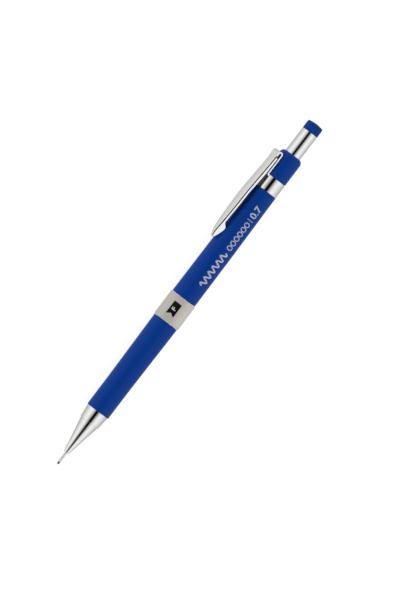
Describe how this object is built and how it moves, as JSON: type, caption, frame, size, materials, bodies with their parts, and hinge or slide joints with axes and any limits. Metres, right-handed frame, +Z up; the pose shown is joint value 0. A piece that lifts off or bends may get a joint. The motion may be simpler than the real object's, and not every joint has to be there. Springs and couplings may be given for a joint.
{
  "type": "mechanical pencil",
  "caption": "Push-button mechanical pencil with a turning lead-grade collar, sprung pocket clip and screw-off nose cone.",
  "frame": {"origin": "on the surface the pencil lies on, under the middle of its outer box", "axes": "+X along the pencil towards the lead's tip, +Z up, the clip on the -Y side turned 25 degrees below the horizontal"},
  "size_m": [0.1424, 0.0122, 0.0098],
  "materials": {
    "blue_plastic": "fine satin, royal blue",
    "chrome": "polished plating",
    "satin_aluminium": "fine satin",
    "clip_steel": "satin face, polished edges",
    "steel": "bright drawn wire and tube",
    "brass": "turned",
    "graphite": "dull graphite composite",
    "black_plastic": "matt black",
    "black_rubber": "matt",
    "white_rubber": "dusty matt",
    "clear_plastic": "translucent natural"
  },
  "bodies": {
    "barrel": {"grip_barrel": "blue_plastic", "nose_ferrule": "chrome", "guide_sleeve": "brass", "return_spring": "steel", "grade_drum": "black_plastic", "front_washer": "black_rubber", "rear_washer": "black_rubber", "upper_barrel": "blue_plastic", "clip_band": "chrome", "top_section": "blue_plastic"},
    "nose": {"nose_cone": "chrome", "lead_sleeve": "steel", "lead_retainer": "black_rubber"},
    "lead": {"writing_lead": "graphite"},
    "ring": {"chuck_ring": "brass"},
    "collar": {"indicator_collar": "satin_aluminium"},
    "clip": {"clip_arm": "clip_steel"},
    "button": {"push_tube": "chrome", "lead_reservoir": "clear_plastic", "chuck_connector": "brass", "chuck": "brass", "eraser": "white_rubber"},
    "cap": {"button_cap": "blue_plastic"},
    "spare_leads": {"spare_lead_1": "graphite", "spare_lead_2": "graphite", "spare_lead_3": "graphite"}
  },
  "joints": [
    {"name": "button_push", "type": "slide", "parent": "barrel", "child": "button", "axis": [1, 0, 0], "range_m": [0, 0.004], "stiffness_N_per_m": 600, "springref_m": -0.004, "deforming": ["return_spring"]},
    {"name": "ring_slide", "type": "slide", "parent": "barrel", "child": "ring", "axis": [1, 0, 0], "range_m": [0, 0.0016]},
    {"name": "lead_feed", "type": "slide", "parent": "barrel", "child": "lead", "axis": [1, 0, 0], "range_m": [-0.0008, 0.004]},
    {"name": "nose_off", "type": "slide", "parent": "barrel", "child": "nose", "axis": [1, 0, 0], "range_m": [0, 0.0045]},
    {"name": "collar_turn", "type": "hinge", "parent": "barrel", "child": "collar", "pos_m": [0.0068, 0.00122, 0.00492], "axis": [1, 0, 0], "continuous": true},
    {"name": "clip_flex", "type": "hinge", "parent": "barrel", "child": "clip", "pos_m": [-0.05438, -0.00419, 0.00244], "axis": [0, 0.4173, -0.9088], "range_deg": [0, 6], "stiffness_Nm_per_rad": 1.5, "springref_deg": -1.15},
    {"name": "cap_pull", "type": "slide", "parent": "button", "child": "cap", "axis": [-1, 0, 0], "range_m": [0, 0.006]},
    {"name": "spare_leads_slide", "type": "slide", "parent": "button", "child": "spare_leads", "axis": [-1, 0, 0], "range_m": [-0.0009, 0.024]}
  ],
  "couplings": [
    {"joint": "ring_slide", "follows": "button_push", "ratio": 0.4}
  ]
}
